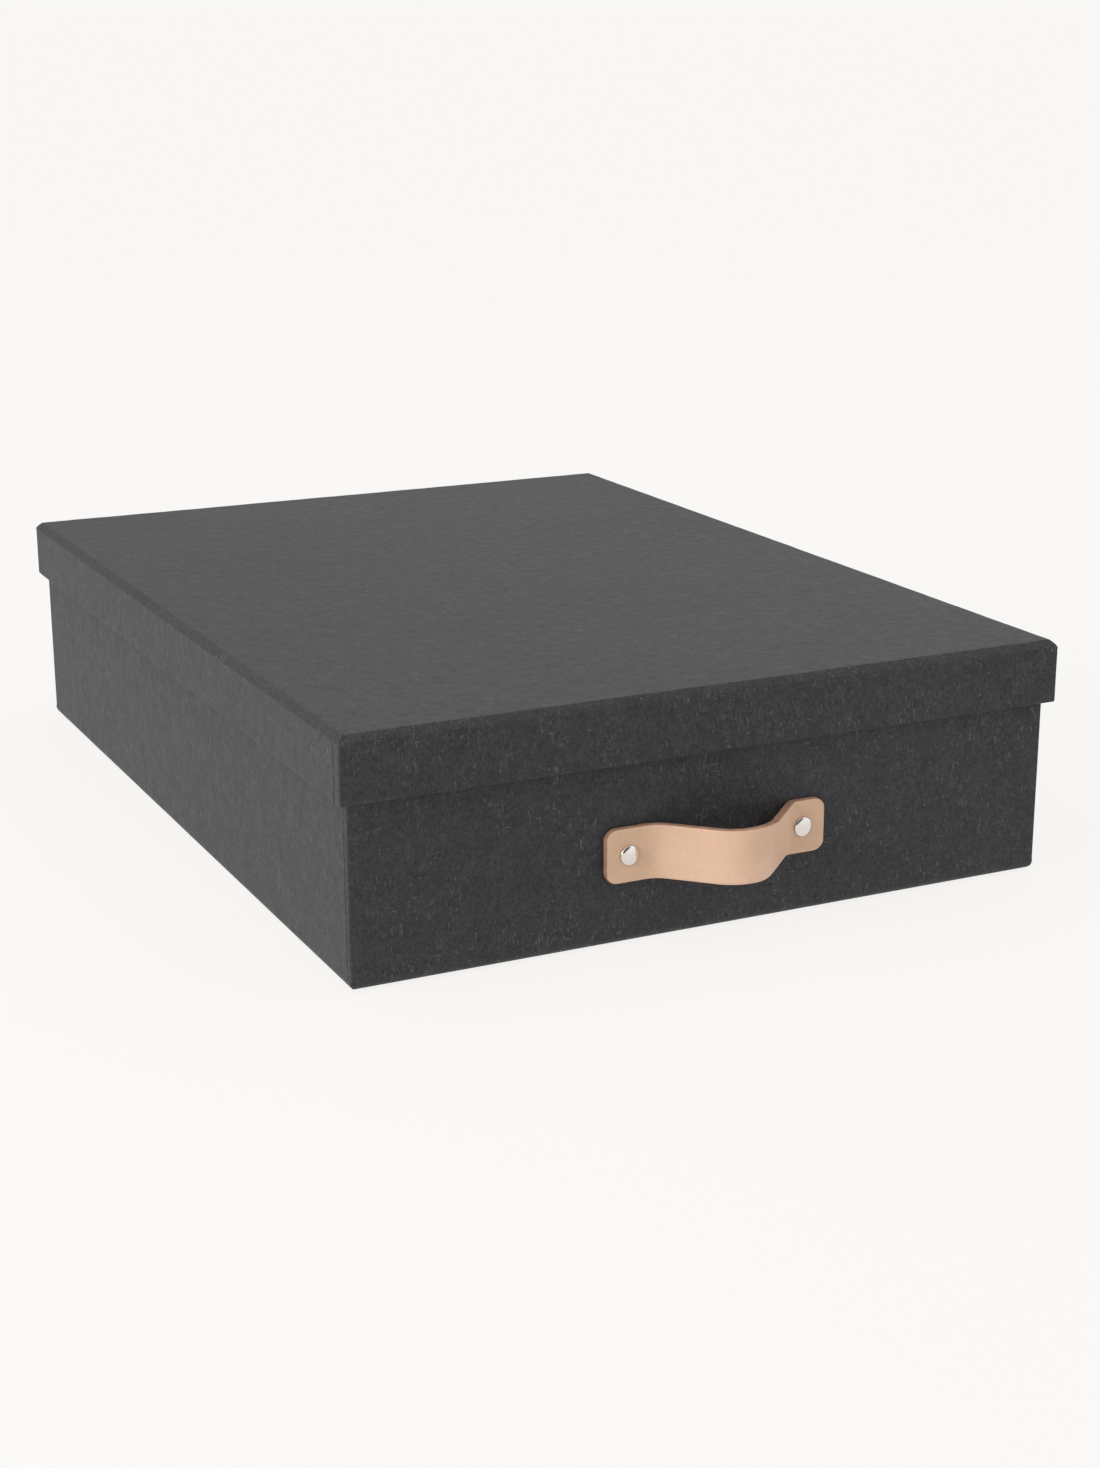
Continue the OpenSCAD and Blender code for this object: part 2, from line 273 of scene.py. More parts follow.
def strap_leather():
    """Vegetable-tanned leather: pale grain side, faint pores, burnished brown edges."""
    n = Nodes("strap_leather")
    edge = n.attribute("edge")
    flesh = n.attribute("flesh")
    cloud = n.noise(55.0, 3.0, 0.55)
    fine = n.noise(700.0, 4.0, 0.6)
    grain = n.mix(n.remap(cloud, 0.3, 0.7, 0, 1), (0.615, 0.405, 0.277), (0.680, 0.462, 0.328))
    grain = n.mix(n.remap(fine, 0.35, 0.7, 0, 0.35), grain, (0.56, 0.345, 0.225))
    pores = n.voronoi(2300.0)
    pore = n.remap(pores.outputs["Distance"], 0.0, 0.22, 0.5, 0.0, True)
    grain = n.mix(n.math("MULTIPLY", pore, 0.5), grain, (0.45, 0.25, 0.15))
    # painted shade: grain is darkened toward the strap's ends, away from the arch crown, to stand in for the crown
    # catching more light
    grain = n.mix(n.attribute("end_shade"), grain, n.mix(1.0, grain, (0.90, 0.90, 0.87), "MULTIPLY"))
    back_side = n.mix(n.remap(n.noise(900.0, 4.0, 0.7), 0.3, 0.7, 0, 1), (0.40, 0.25, 0.16), (0.52, 0.35, 0.24))
    col = n.mix(flesh, grain, back_side)
    burn = n.mix(n.remap(n.noise(300.0, 3.0, 0.6), 0.3, 0.7, 0, 1), (0.27, 0.145, 0.090), (0.38, 0.225, 0.150))
    col = n.mix(n.remap(edge, 0.25, 0.95, 0, 1, True), col, burn)
    rough = n.math("ADD", n.remap(n.noise(420.0, 3.0, 0.6), 0.3, 0.7, 0.44, 0.56), n.math("MULTIPLY", flesh, 0.3))
    cells = n.voronoi(1500.0, "DISTANCE_TO_EDGE")
    h = n.math("ADD", n.remap(cells.outputs["Distance"], 0.0, 0.12, 0.0, 1.0, True), n.math("MULTIPLY", fine, 0.8))
    b1 = n.bump(h, 0.22, 0.00004)
    b2 = n.bump(n.noise(160.0, 2.0, 0.5), 0.30, 0.00025, b1)
    n.set(IOR=1.42)
    return n.done(col, rough, b2)


def nickel():
    """Polished nickel plate with fine handling marks."""
    n = Nodes("polished_nickel")
    col = n.mix(n.remap(n.noise(260.0, 3.0, 0.6), 0.3, 0.7, 0, 1), (0.70, 0.665, 0.62), (0.78, 0.745, 0.70))
    rough = n.remap(n.noise(1.0, 3.0, 0.6, n.mapping((2500, 2500, 600), (0.3, 0.6, 0.2))), 0.3, 0.7, 0.10, 0.22)
    b = n.bump(n.noise(900.0, 2.0, 0.5), 0.12, 0.00003)
    n.set(Metallic=1.0)
    return n.done(col, rough, b)


PAPER, LINING, BOARD, TAPE = charcoal_paper(), lining_paper(), grey_board(), kraft_tape()
LEATHER, NICKEL = strap_leather(), nickel()
CAD_LOOK = {"grey_board": BOARD, "stay_tape": TAPE, "lining_paper": LINING, "cover_paper": PAPER,
            "strap_leather": LEATHER, "rivet_metal": NICKEL}
for sub in frame["record"]["subparts"]:
    o = frame["nodes"].get(sub["node"])
    if o is not None:
        o.data.materials.clear()
        o.data.materials.append(CAD_LOOK[sub["material_slot"]])


# ------------------------------------------------------------------ mesh helpers
def smoothstep(a, b, x):
    t = min(1.0, max(0.0, (x - a) / (b - a)))
    return t * t * (3 - 2 * t)


def wave(x, y, z, size, seed):
    """Smooth noise of about that feature size in mm, from -1 to 1."""
    return noise.noise(Vector((x / size + seed * 7.13, y / size - seed * 3.7, z / size + seed * 1.9)))


def make(name, verts, faces, mat, body, thick=None, weld=0.004, sharp=40.0):
    me = bpy.data.meshes.new(name)
    me.from_pydata([tuple(c * MM for c in v) for v in verts], [], faces)
    bm = bmesh.new()
    bm.from_mesh(me)
    bmesh.ops.remove_doubles(bm, verts=bm.verts, dist=weld * MM)
    bmesh.ops.dissolve_degenerate(bm, edges=bm.edges, dist=weld * MM * 0.5)
    loose = [v for v in bm.verts if not v.link_faces]
    bmesh.ops.delete(bm, geom=loose, context="VERTS")
    bmesh.ops.recalc_face_normals(bm, faces=bm.faces)
    bm.to_mesh(me)
    bm.free()
    o = bpy.data.objects.new(name, me)
    scene.collection.objects.link(o)
    me.materials.append(mat)
    if thick:
        m = o.modifiers.new("paper", "SOLIDIFY")
        m.thickness = thick * MM
        m.offset = -1.0
        m.use_even_offset = False
        flatten(o)
    o.data.shade_smooth()
    o.data.set_sharp_from_angle(angle=math.radians(sharp))
    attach(o, body)
    return o


def flatten(o):
    bpy.context.view_layer.update()
    dg = bpy.context.evaluated_depsgraph_get()
    me = bpy.data.meshes.new_from_object(o.evaluated_get(dg))
    o.modifiers.clear()
    o.data = me


def spread(a, b, step):
    n = max(1, int(round((b - a) / step)))
    return [a + (b - a) * i / n for i in range(n + 1)]


def long_samples(hy, lap):
    """Places along a long side, close together where the lap is."""
    ends = [CR] + ([1.4, 2.0, 2.6, 3.2] if lap > 4 else [1.3]) + [lap + k for k in (
        -0.6, -0.35, -0.15, 0.0, 0.12, 0.3, 0.5, 0.7, 0.85, 1.1, 1.6, 2.8, 5.3)]
    a = [-(hy - s) for s in ends]
    return a[:-1] + spread(-(hy - ends[-1]), hy - ends[-1], 3.0) + [-v for v in a[:-1]][::-1]


def outline(hx, hy, r, lap=LAP):
    """Counter-clockwise rounded rectangle: (x, y, nx, ny) from the front left corner."""
    pts = []

    def arc(cx, cy, a0):
        for i in range(1, 6):
            a = math.radians(a0 + 90 * i / 6)
            pts.append((cx + r * math.cos(a), cy + r * math.sin(a), math.cos(a), math.sin(a)))

    for x in spread(-(hx - r), hx - r, 3.0):
        pts.append((x, -hy, 0, -1))
    arc(hx - r, -(hy - r), -90)
    for y in long_samples(hy, lap):
        pts.append((hx, y, 1, 0))
    arc(hx - r, hy - r, 0)
    for x in spread(-(hx - r), hx - r, 3.0)[::-1]:
        pts.append((x, hy, 0, 1))
    arc(-(hx - r), hy - r, 90)
    for y in long_samples(hy, lap)[::-1]:
        pts.append((-hx, y, -1, 0))
    arc(-(hx - r), -(hy - r), 180)
    return pts


def inset(p, d, hx, hy):
    x, y = p[0] - p[2] * d, p[1] - p[3] * d
    return (max(-(hx - d), min(hx - d, x)), max(-(hy - d), min(hy - d, y)))


def lap_profile(s, edge):
    """How far the long side's surface lies back at distance s from the end face."""
    if s <= edge - 0.12:
        return STEP - 0.03 * smoothstep(edge - 1.0, edge - 2.2, s) if edge > 4 else STEP
    if s <= edge:
        return STEP + 0.04
    if s <= edge + 0.65:
        return (STEP + 0.04) * (1 - smoothstep(edge, edge + 0.65, s)) - 0.035 * smoothstep(edge, edge + 0.65, s)
    return -0.035 * (1 - smoothstep(edge + 0.65, edge + 1.7, s))


# ------------------------------------------------------------------ lid
BEND = 0.5          # radius at the two borders of the lid's flattened fold
REACH = BEND * math.tan(math.radians(22.5))
TOP_IN = LID_B + REACH


def fold_rise(x, y, t):
    """Unevenness of the fold; t is 0 at its upper border and 1 at its lower one."""
    a = 0.07 * wave(x, y, 0, 10.0, 5) + 0.05 * wave(x, y, 0, 3.2, 6)
    b = 0.07 * wave(x, y, 0, 12.0, 61) + 0.055 * wave(x, y, 0, 2.6, 62)
    return a * (1 - t) + b * t


def lid_wrap():
    path = outline(LX, LY, CR, LID_LAP)
    prof = []                                      # inset, height, outward share, upward share, place on the fold
    for i in range(0, 5):
        a = math.radians(45 * i / 4)
        prof.append((TOP_IN - BEND * math.sin(a), H - BEND * (1 - math.cos(a)), math.sin(a), math.cos(a), 0.0))
    d0, d1 = prof[-1][0], BEND * (1 - math.cos(math.radians(45)))
    for i in range(1, 6):
        d = d0 + (d1 - d0) * i / 6
        swell = 0.05 * math.sin(math.pi * i / 6)
        prof.append((d - swell, H - (LID_B - d) + swell, 0.7071, 0.7071, i / 6))
    for i in range(0, 5):
        a = math.radians(45 + 45 * i / 4)
        prof.append((BEND * (1 - math.sin(a)), H - TOP_IN + BEND * math.cos(a), math.sin(a), math.cos(a), 1.0))
    for z in (H - 3.0, H - 3.4, H - 3.9, H - 4.8, H - 6.5, H - 9, H - 12, H - 15, SKIRT + 3.5, SKIRT + 1.8, SKIRT + 0.9):
        prof.append((0.0, z, 1.0, 0.0, 1.0))
    rr = 0.6
    for i in range(0, 5):
        a = math.radians(90 * i / 4)
        prof.append((rr * (1 - math.cos(a)), SKIRT + rr * (1 - math.sin(a)), math.cos(a), -math.sin(a), 1.0))
    for i in range(0, 5):
        a = math.radians(90 * i / 4)
        prof.append((WALL - rr * (1 - math.sin(a)), SKIRT + rr * (1 - math.cos(a)), 0.0, 0.0, 1.0))
    for z in (SKIRT + 2, SKIRT + 6, SKIRT + 11, SKIRT + TURN):
        prof.append((WALL, z, 0.0, 0.0, 1.0))
    verts, faces = [], []
    n = len(path)
    for k, (d, z, outn, upn, t) in enumerate(prof):
        inner = k > len(prof) - 6
        for p in path:
            x, y = inset(p, d, LX, LY)
            zz = z
            if not inner:
                # lap of the long sides' paper, below the fold
                s = LY - abs(p[1])
                wz = smoothstep(H - 2.3, H - 3.3, z) * abs(p[2])
                edge = LID_LAP + 0.20 * wave(p[0], p[1], z, 7.0, 3) + 0.06 * wave(p[0], p[1], z, 2.0, 4)
                back_off = lap_profile(s, edge) * wz if d < 0.7 else 0.0
                # the wrap lies almost flat, with slow waves and a few small puckers on the fold
                fold = smoothstep(H - 5.0, H - 2.4, z)
                out = 0.05 * wave(x, y, z, 42.0, 1) + 0.022 * wave(x, y, z, 11.0, 2) + fold * fold_rise(x, y, t)
                x += p[2] * outn * (out - back_off)
                y += p[3] * outn * out
                zz += out * max(0.0, upn)
            elif k == len(prof) - 1:
                zz += 0.45 * wave(x, y, 0, 16.0, 8) + 0.12 * wave(x, y, 0, 4.0, 9)
            verts.append((x, y, zz))
    for k in range(len(prof) - 1):
        for j in range(n):
            a, b = k * n + j, k * n + (j + 1) % n
            faces.append((a, b, b + n, a + n))
    # the top, on the same places as the ring around it
    xs = sorted({round(max(-(LX - TOP_IN), min(LX - TOP_IN, p[0])), 5) for p in path if p[3] == -1})
    ys = sorted({round(max(-(LY - TOP_IN), min(LY - TOP_IN, p[1])), 5) for p in path if p[2] == 1})
    off = len(verts)
    for y in ys:
        for x in xs:
            inside = min(LX - TOP_IN - abs(x), LY - TOP_IN - abs(y))
            dz = (0.05 * wave(x, y, H, 42.0, 1) + 0.022 * wave(x, y, H, 11.0, 2)
                  + fold_rise(x, y, 0.0) * (1 - smoothstep(0.0, 5.0, inside)))
            verts.append((x, y, H + dz + top_sag(x, y)))
    for i in range(len(ys) - 1):
        for j in range(len(xs) - 1):
            a = off + i * len(xs) + j
            faces.append((a, a + 1, a + 1 + len(xs), a + len(xs)))
    return make("lid_wrap", verts, faces, PAPER, "lid", thick=P * 0.9, weld=0.03)


def top_sag(x, y):
    """The lid's board is a touch crowned, and meets its edges without a step."""
    u = max(0.0, 1 - (x / (LX - TOP_IN)) ** 2)
    v = max(0.0, 1 - (y / (LY - TOP_IN)) ** 2)
    return 0.22 * u * v


lid = lid_wrap()
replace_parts(lid, "lid_cover")


# ------------------------------------------------------------------ tray papers
def tray_profile():
    prof = [(TURN, P, -1.0), (9.0, P, -1.0), (5.0, P, -1.0)]
    for i in range(0, 9):
        a = math.radians(90 * i / 8)
        prof.append((TRAY_R * (1 - math.sin(a)), P + TRAY_R * (1 - math.cos(a)), -math.cos(a)))
    for z in (3.6, 4.0, 4.5, 5.5, 8, 12, 17, 22, 27, 32, 37, 42, 47, 52, 56, 60, 64, 68, 72, 76, RIM - 1.6):
        prof.append((0.0, z, 0.0))
    rr = 0.6
    for i in range(0, 5):
        a = math.radians(90 * i / 4)
        prof.append((rr * (1 - math.cos(a)), RIM - rr * (1 - math.sin(a)), math.sin(a)))
    for i in range(0, 5):
        a = math.radians(90 * i / 4)
        prof.append((WALL - rr * (1 - math.sin(a)), RIM - rr * (1 - math.cos(a)), math.cos(a)))
    for z in (RIM - 2, RIM - 6, RIM - 11, RIM - TURN):
        prof.append((WALL, z, 0.0))
    return prof


def tray_shift(x, y, z, seed):
    out = 0.05 * wave(x, y, z, 45.0, seed) + 0.02 * wave(x, y, z, 12.0, seed + 1)
    fold = math.exp(-((z - 2.0) / 2.0) ** 2)
    return out + fold * (0.06 * wave(x, y, z * 0.5, 9.0, seed + 2) + 0.03 * wave(x, y, z * 0.5, 4.0, seed + 3))


def strip(name, path, shape):
    """Sheet from a path of (x, y, nx, ny) and the tray's profile; shape() places each point."""
    prof = tray_profile()
    verts, faces = [], []
    n = len(path)
    for k, (d, z, upn) in enumerate(prof):
        inner = k > len(prof) - 6
        for p in path:
            verts.append(shape(p, d, z, upn, inner, k == len(prof) - 1, k < 3))
    for k in range(len(prof) - 1):
        for j in range(n - 1):
            a = k * n + j
            faces.append((a, a + 1, a + 1 + n, a + n))
    return make(name, verts, faces, PAPER, "tray", thick=P * 0.9, weld=0.03)


def side_paper(sx):
    ys = [y for y in long_samples(BY, LAP) if abs(y) <= BY - LAP + 1e-6]
    path = [(sx * BX, y, sx, 0) for y in ys]

    def shape(p, d, z, upn, inner, last, under):
        x, y = inset(p, d, BX, BY)
        if inner:
            return (x, y, z + (0.45 * wave(x, y, 0, 16.0, 12) + 0.12 * wave(x, y, 0, 4.0, 13) if last else 0.0))
        if under:
            return (x, y, z)
        s = BY - abs(p[1])
        edge = LAP
        off = lap_profile(s, edge) * smoothstep(3.2, 4.6, z) * (1 - smoothstep(RIM - 3, RIM - 1.5, z))
        jig = (0.14 * wave(p[0], p[1], z, 7.0, 14) + 0.05 * wave(p[0], p[1], z, 2.0, 15)) * (1 - smoothstep(LAP, LAP + 2.5, s))
        y += jig * (1 if y > 0 else -1) * (1 if d < 0.7 else 0)
        out = tray_shift(x, y, z, 20) - off
        hz = math.sqrt(max(0.0, 1 - upn * upn))
        return (x + p[2] * hz * out, y, z)

    path = path if sx > 0 else path[::-1]
    return strip("side_paper_right" if sx > 0 else "side_paper_left", path, shape)


def end_paper(sy):
    full = outline(BX, BY, CR)
    tab = [1.9, 2.2, 2.6, 3.2, 4.2, 6.0]
    path = []
    for s in tab[::-1]:
        path.append((-BX, -(BY - s), -1, 0))
    for s in (1.6, 1.3, 1.05):
        path.append((-BX, -(BY - s), -1, 0))
    for i in range(0, 7):
        a = math.radians(180 + 90 * i / 6)
        path.append((-(BX - CR) + CR * math.cos(a), -(BY - CR) + CR * math.sin(a), math.cos(a), math.sin(a)))
    path += [(x, -BY, 0, -1) for x in spread(-(BX - CR), BX - CR, 3.0)[1:-1]]
    path += [(-p[0], p[1], -p[2], p[3]) for p in path[:len(tab) + 3 + 7][::-1]]
    if sy > 0:
        path = [(-p[0], -p[1], -p[2], -p[3]) for p in path]

    def shape(p, d, z, upn, inner, last, under):
        s = BY - abs(p[1])
        wallish = 4.6 < z < RIM - 2.0 and not inner
        lim = 99.0 if wallish else max(LAP, d)
        q = p
        if abs(p[2]) > 0.99:
            s = min(s, lim)
            q = (p[0], math.copysign(BY - s, p[1]), p[2], p[3])
        x, y = inset(q, d, BX, BY)
        if inner:
            return (x, y, z + (0.45 * wave(x, y, 0, 16.0, 12) + 0.12 * wave(x, y, 0, 4.0, 13) if last else 0.0))
        if under:
            return (x, y, z)
        back_off = STEP * abs(p[2]) * smoothstep(3.2, 4.6, z) * (1 - smoothstep(RIM - 3, RIM - 1.5, z))
        if s > LAP:
            back_off += 0.12 * smoothstep(LAP, LAP + 0.5, s) * smoothstep(3.2, 4.6, z) * (1 - smoothstep(RIM - 3, RIM - 1.5, z))
        out = tray_shift(x, y, z, 30 if sy < 0 else 40)
        hz = math.sqrt(max(0.0, 1 - upn * upn))
        x += p[2] * hz * (out * (1 if s < LAP else 0)) - math.copysign(back_off, p[0]) * (1 if d < 0.7 else 0)
        y += p[3] * hz * out
        return (x, y, z)

    return strip("end_paper_front" if sy < 0 else "end_paper_back", path, shape)


for sx, node in ((-1, "base_cover_left"), (1, "base_cover_right")):
    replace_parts(side_paper(sx), node)
for sy, node in ((-1, "base_cover_front"), (1, "base_cover_back")):
    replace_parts(end_paper(sy), node)


# ------------------------------------------------------------------ strap
ST = 2.5
ARCH_X, ARCH_R, ARCH_H = 1.6, 14.3, 18.3
SIDES = {-1: (math.radians(44.5), 10.0), 1: (math.radians(45), 4.5)}   # slope and foot radius
SLANT = 1.3         # how far the right-hand bend leans over, at the strap's edges
S_X0, S_X1 = strap_lo.x / MM, strap_hi.x / MM
S_Z0, S_Z1 = strap_lo.z / MM, strap_hi.z / MM
S_ZC = (S_Z0 + S_Z1) / 2


def strap_mid(side, x_end):
    """Middle line from the arch's top outwards: distance to (x, rise, slope), and its length."""
    ang, fr = SIDES[side]
    straight = (ARCH_H - (ARCH_R + fr) * (1 - math.cos(ang))) / math.sin(ang)
    half = (ARCH_R + fr) * math.sin(ang) + straight * math.cos(ang)

    def at(q):
        l1 = ARCH_R * ang
        l2 = l1 + straight
        l3 = l2 + fr * ang
        if q < l1:
            a = q / ARCH_R
            return ARCH_R * math.sin(a), ARCH_H - ARCH_R * (1 - math.cos(a)), a
        if q < l2:
            u = q - l1
            return (ARCH_R * math.sin(ang) + u * math.cos(ang),
                    ARCH_H - ARCH_R * (1 - math.cos(ang)) - u * math.sin(ang), ang)
        if q < l3:
            a = ang - (q - l2) / fr
            return half - fr * math.sin(a), fr * (1 - math.cos(a)), a
        return half + (q - l3), 0.0, 0.0
    return at, ARCH_R * ang + straight + fr * ang + (x_end - half)


def strap_mesh():
    er = 0.42                                      # worn edge
    half_w = (S_Z1 - S_Z0) / 2
    cr = 4.0
    rows = []
    at_r, len_r = strap_mid(1, S_X1 - ARCH_X)
    at_l, len_l = strap_mid(-1, ARCH_X - S_X0)
    stations = []
    end = [0.0, 0.04, 0.12, 0.24, 0.42, 0.8, 1.3, 1.8, 2.4, 3.1, 4.0]
    left = [-(len_l - e) for e in end]
    mid = spread(-(len_l - 4.0), len_r - 4.0, 0.7)
    stations = left[:-1] + mid + [len_r - e for e in end[:-1]][::-1]
    edges_attr, flesh_attr, end_shade_attr = [], [], []
    verts, faces = [], []
    n_flat = 22
    for q in stations:
        toend = (len_r - q) if q > 0 else (q + len_l)
        w = half_w if toend >= cr else half_w - cr + math.sqrt(max(0.0, cr * cr - (cr - toend) ** 2))
        h = ST / 2
        round_end = 0.0
        if toend < er:
            h = ST / 2 - er + math.sqrt(max(0.0, er * er - (er - toend) ** 2))
            round_end = 1 - toend / er
        at, sgn = (at_r, 1) if q >= 0 else (at_l, -1)
        mx, my, a = at(abs(q))
        cx, cy = ARCH_X + sgn * mx, -BY - ST / 2 - my
        nx, ny = sgn * math.sin(a), -math.cos(a)
        ring = []
        # grain face from low z to high z
        wi = max(0.2, w - er)
        for i in range(n_flat + 1):
            v = -wi + 2 * wi * i / n_flat
            ring.append((v, h, 0.0, 0.0))
        for i in range(1, 6):
            b = math.radians(180 * i / 6)
            ring.append((wi + er * math.sin(b), h * math.cos(b), 1.0, 0.0))
        for i in range(n_flat + 1):
            v = wi - 2 * wi * i / n_flat
            ring.append((v, -h, 0.0, 1.0))
        for i in range(1, 6):
            b = math.radians(180 + 180 * i / 6)
            ring.append((-wi + er * math.sin(b), h * math.cos(b), 1.0, 0.0))
        for v, hh, e_, f_ in ring:
            x = cx + nx * hh
            y = cy + ny * hh
            z = S_ZC + v
            # leather pinched under each rivet
            if f_ == 0.0:
                for cxr in (CAP_L, CAP_R):
                    r = math.hypot(x - cxr, z - CAP_Z)
                    y += 0.10 * math.exp(-((r - 3.2) / 1.3) ** 2) * (1 if e_ == 0 else 0.3)
            # the right-hand bend leans: further right at the upper edge, further left at the lower
            rel = x - ARCH_X
            if rel > 0:
                x += SLANT * v / half_w * smoothstep(0.0, 10.0, rel) * (1 - smoothstep(27.5, 35.0, rel))
            bow = 0.06 * wave(q, v, 0, 14.0, 51) + 0.03 * wave(q, v, 0, 5.0, 52)
            if hh > 0:
                x += nx * bow
                y += ny * bow
            y = min(y, -BY - 0.01)
            verts.append((x, y, z))
            edges_attr.append(max(e_, 1.0 if toend < er * 0.8 else 0.0))
            flesh_attr.append(f_)
            # painted shade mask: 0 at the arch crown, rising to 1 toward the ends, where the grain colour is
            # darkened
            end_shade_attr.append(smoothstep(13.0, 30.0, abs(x - ARCH_X)))
    m = 2 * (n_flat + 1) + 10
    rows = len(stations)
    for i in range(rows - 1):
        for j in range(m):
            a, b = i * m + j, i * m + (j + 1) % m
            faces.append((a, b, b + m, a + m))
    # the two end faces, as strips across the thickness
    for base, flip in ((0, True), ((rows - 1) * m, False)):
        top = [base + i for i in range(n_flat + 1)]
        bot = [base + n_flat + 6 + i for i in range(n_flat + 1)][::-1]
        right_e = [base + n_flat + 1 + i for i in range(5)]
        left_e = [base + 2 * n_flat + 7 + i for i in range(5)]
        quads = [(top[i], top[i + 1], bot[i + 1], bot[i]) for i in range(n_flat)]
        quads.append(tuple([top[-1]] + right_e + [bot[-1]]))
        quads.append(tuple([bot[0]] + left_e + [top[0]]))
        for qd in quads:
            faces.append(qd if flip else qd[::-1])
    me = bpy.data.meshes.new("leather_strap")
    me.from_pydata([tuple(c * MM for c in v) for v in verts], [], faces)
    for nm, vals in (("edge", edges_attr), ("flesh", flesh_attr), ("end_shade", end_shade_attr)):
        at = me.attributes.new(nm, "FLOAT", "POINT")
        at.data.foreach_set("value", vals)
    bm = bmesh.new()
    bm.from_mesh(me)
    bmesh.ops.recalc_face_normals(bm, faces=bm.faces)
    bm.to_mesh(me)
    bm.free()
    me.materials.append(LEATHER)
    o = bpy.data.objects.new("leather_strap", me)
    scene.collection.objects.link(o)
    me.shade_smooth()
    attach(o, "tray")
    return o


CAP_L = (capL_lo.x + capL_hi.x) / 2 / MM
CAP_R = (capR_lo.x + capR_hi.x) / 2 / MM
CAP_Z = (capL_lo.z + capL_hi.z) / 2 / MM
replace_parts(strap_mesh(), "handle_strap")


# ------------------------------------------------------------------ rivets
def lathe(name, prof, at, axis_y, mat, seg=48, sub=1):
    """prof is (radius, height) from the middle of one face round to the middle of the other."""
    verts, faces = [], []
    for r, h in prof:
        for j in range(seg):
            a = 2 * math.pi * j / seg
            verts.append((at[0] + r * math.cos(a), at[1] + axis_y * h, at[2] + r * math.sin(a)))
    for k in range(len(prof) - 1):
        for j in range(seg):
            a, b = k * seg + j, k * seg + (j + 1) % seg
            faces.append((a, b, b + seg, a + seg))
    first = len(verts)
    verts.append((at[0], at[1] + axis_y * prof[0][1], at[2]))
    verts.append((at[0], at[1] + axis_y * prof[-1][1], at[2]))
    for j in range(seg):
        faces.append((first, (j + 1) % seg, j))
        e = (len(prof) - 1) * seg
        faces.append((first + 1, e + j, e + (j + 1) % seg))
    o = make(name, verts, faces, mat, "tray", weld=0.001, sharp=50)
    return o


def dome(r, h, rim):
    """Cap with a rolled rim and a low dome."""
    prof = [(0.4, 0.02), (r - 0.55, 0.0), (r - 0.25, 0.03), (r - 0.06, 0.16), (r, 0.34), (r - 0.03, 0.50), (r - 0.14, rim)]
    hr = h - rim
    rr = ((r - 0.14) ** 2 + hr ** 2) / (2 * hr)
    a0 = math.asin((r - 0.14) / rr)
    for i in range(1, 13):
        a = a0 * (1 - i / 12.6)
        prof.append((rr * math.sin(a), h - rr * (1 - math.cos(a))))
    return prof


for nm, cx in (("left", CAP_L), ("right", CAP_R)):
    cap_h = -(capL_lo.y) / MM - (BY + ST)
    o = lathe("rivet_dome_" + nm, dome(3.3, cap_h, 0.62), (cx, -BY - ST + 0.08, CAP_Z), -1, NICKEL)
    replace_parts(o, "rivet_cap_" + nm)
    # inner flange on the lining, with its shallow hollow
    y0 = -BY + 2.4
    prof = [(0.3, 0.30), (0.9, 0.32), (1.25, 0.55), (1.5, 0.78), (2.1, 0.80), (3.2, 0.70), (3.75, 0.48), (4.0, 0.20), (3.95, 0.02), (3.0, 0.0), (1.5, 0.0), (1.5, -4.0), (1.3, -4.4)]
    o = lathe("rivet_back_" + nm, prof, (cx, y0, CAP_Z), 1, NICKEL)
    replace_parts(o, "rivet_post_" + nm)

# ------------------------------------------------------------------ stage and light
WORLD = (1.20, 1.45, 1.05, 1.05, 0.20)          # overhead, left, right, front, behind
FLOOR_GLOW = 0.868
KEY_POWER = 7.8
floor = bpy.data.objects.new("floor", bpy.data.meshes.new("floor"))
R = 60.0
# flat around the box, rising gently far out so that the sweep fills the picture
rings = ((1.0, 0.0), (4.0, 0.0), (6.0, 0.10), (9.0, 0.45), (16.0, 1.60))
verts = [(0.0, 0.0, 0.0)]
faces = []
for k, (rad, z) in enumerate(rings):
    verts += [(rad * math.cos(math.tau * i / 96), rad * math.sin(math.tau * i / 96), z) for i in range(96)]
    for i in range(96):
        a, b = 1 + 96 * k + i, 1 + 96 * k + (i + 1) % 96
        faces.append((0, a, b) if k == 0 else (a - 96, a, b, b - 96))
floor.data.from_pydata(verts, [], faces)
for poly in floor.data.polygons:
    poly.use_smooth = True
scene.collection.objects.link(floor)
fm = bpy.data.materials.new("floor")
fm.use_nodes = True
fb = fm.node_tree.nodes["Principled BSDF"]
fb.inputs["Base Color"].default_value = (0.08, 0.08, 0.08, 1)
fb.inputs["Roughness"].default_value = 0.95
fb.inputs["Specular IOR Level"].default_value = 0.0
fb.inputs["Emission Color"].default_value = (1.0, 0.980, 0.959, 1)
fb.inputs["Emission Strength"].default_value = FLOOR_GLOW
floor.data.materials.append(fm)
floor.location.z = -0.0003

# a white studio: light panels overhead and around, with a dark gap between two of them
world = bpy.data.worlds.new("studio")
scene.world = world
world.use_nodes = True
wt = world.node_tree
wt.nodes.clear()
wo = wt.nodes.new("ShaderNodeOutputWorld")
wb = wt.nodes.new("ShaderNodeBackground")
way = wt.nodes.new("ShaderNodeTexCoord").outputs["Generated"]


def w_dot(v):
    n = wt.nodes.new("ShaderNodeVectorMath")
    n.operation = "DOT_PRODUCT"
    n.inputs[1].default_value = Vector(v).normalized()
    wt.links.new(way, n.inputs[0])
    return n.outputs["Value"]


def w_map(v, a, b, c, d):
    n = wt.nodes.new("ShaderNodeMapRange")
    n.interpolation_type = "SMOOTHSTEP"
    for key, val in zip(("From Min", "From Max", "To Min", "To Max"), (a, b, c, d)):
        n.inputs[key].default_value = val
    wt.links.new(v, n.inputs["Value"])
    return n.outputs[0]


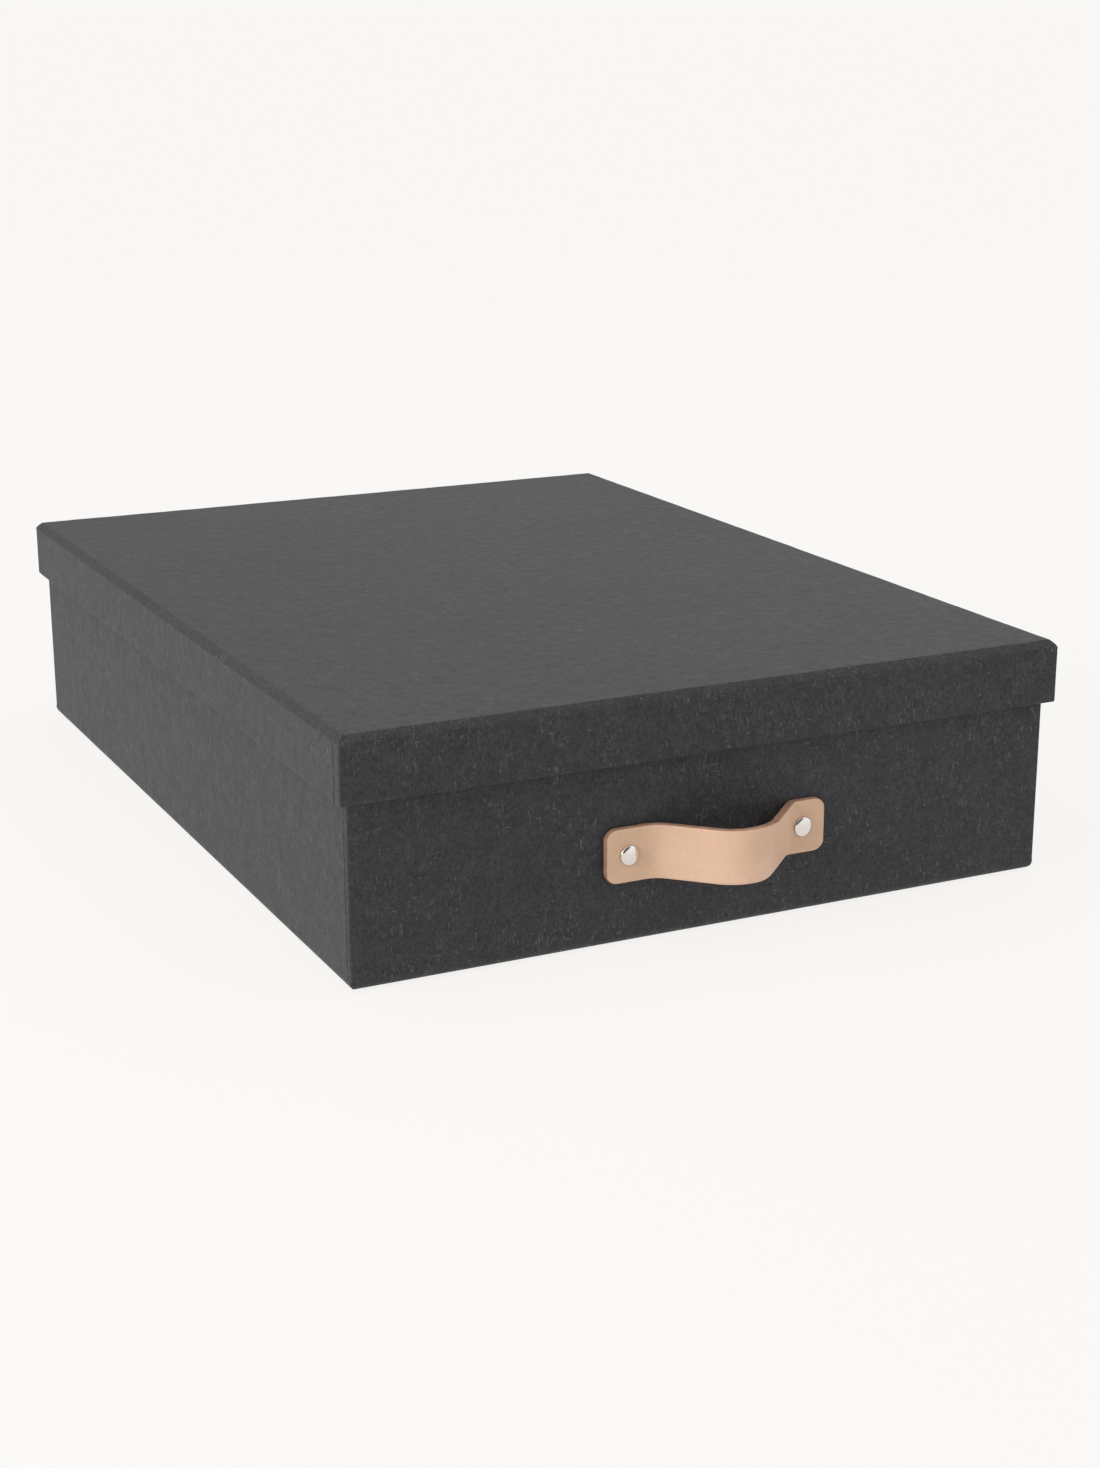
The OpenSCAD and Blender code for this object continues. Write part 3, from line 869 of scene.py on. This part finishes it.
def w_math(op, a, b=0.0):
    n = wt.nodes.new("ShaderNodeMath")
    n.operation = op
    for i, v in enumerate((a, b)):
        if isinstance(v, (int, float)):
            n.inputs[i].default_value = v
        else:
            wt.links.new(v, n.inputs[i])
    return n.outputs[0]


above = w_map(w_dot((0, 0, 1)), 0.15, 0.85, 0.0, 1.0)
around = 0.0
weight = 0.0
for axis, value in zip(((-1, 0, 0), (1, 0, 0), (0, -1, 0), (0, 1, 0)), WORLD[1:]):
    lobe = w_math("POWER", w_math("MAXIMUM", w_dot(axis), 0.0001), 2.0)
    around = w_math("ADD", w_math("MULTIPLY", lobe, value), around)
    weight = w_math("ADD", lobe, weight)
around = w_math("DIVIDE", around, weight)
panels = w_math("ADD", w_math("MULTIPLY", above, WORLD[0]),
                w_math("MULTIPLY", w_math("SUBTRACT", 1.0, above), around))
gap = w_math("MAXIMUM", w_map(w_math("ABSOLUTE", w_dot((-0.509, 0.618, 0.599))), 0.16, 0.24, 0.0, 1.0),
             w_map(w_dot((-0.30, -0.74, 0.60)), 0.66, 0.80, 1.0, 0.0))
wt.links.new(w_math("MULTIPLY", panels, w_math("ADD", w_math("MULTIPLY", gap, 0.98), 0.02)),
             wb.inputs["Strength"])
wb.inputs["Color"].default_value = (0.985, 0.985, 1.0, 1)
wt.links.new(wb.outputs[0], wo.inputs[0])


def area(name, at, look, size, power, colour=(1, 0.99, 0.975)):
    l = bpy.data.lights.new(name, "AREA")
    l.shape = "RECTANGLE"
    l.size, l.size_y = size
    l.energy = power
    l.color = colour
    o = bpy.data.objects.new(name, l)
    scene.collection.objects.link(o)
    d = (Vector(look) - Vector(at)).normalized()
    o.rotation_euler = d.to_track_quat("-Z", "Y").to_euler()
    o.location = at
    return o


area("key", (-1.15, -0.37, 0.50), (-0.12, -0.10, 0.05), (0.8, 0.6), KEY_POWER)

scene.view_settings.view_transform = "Standard"
scene.view_settings.look = "None"
scene.view_settings.exposure = 0.0
scene.view_settings.gamma = 1.0
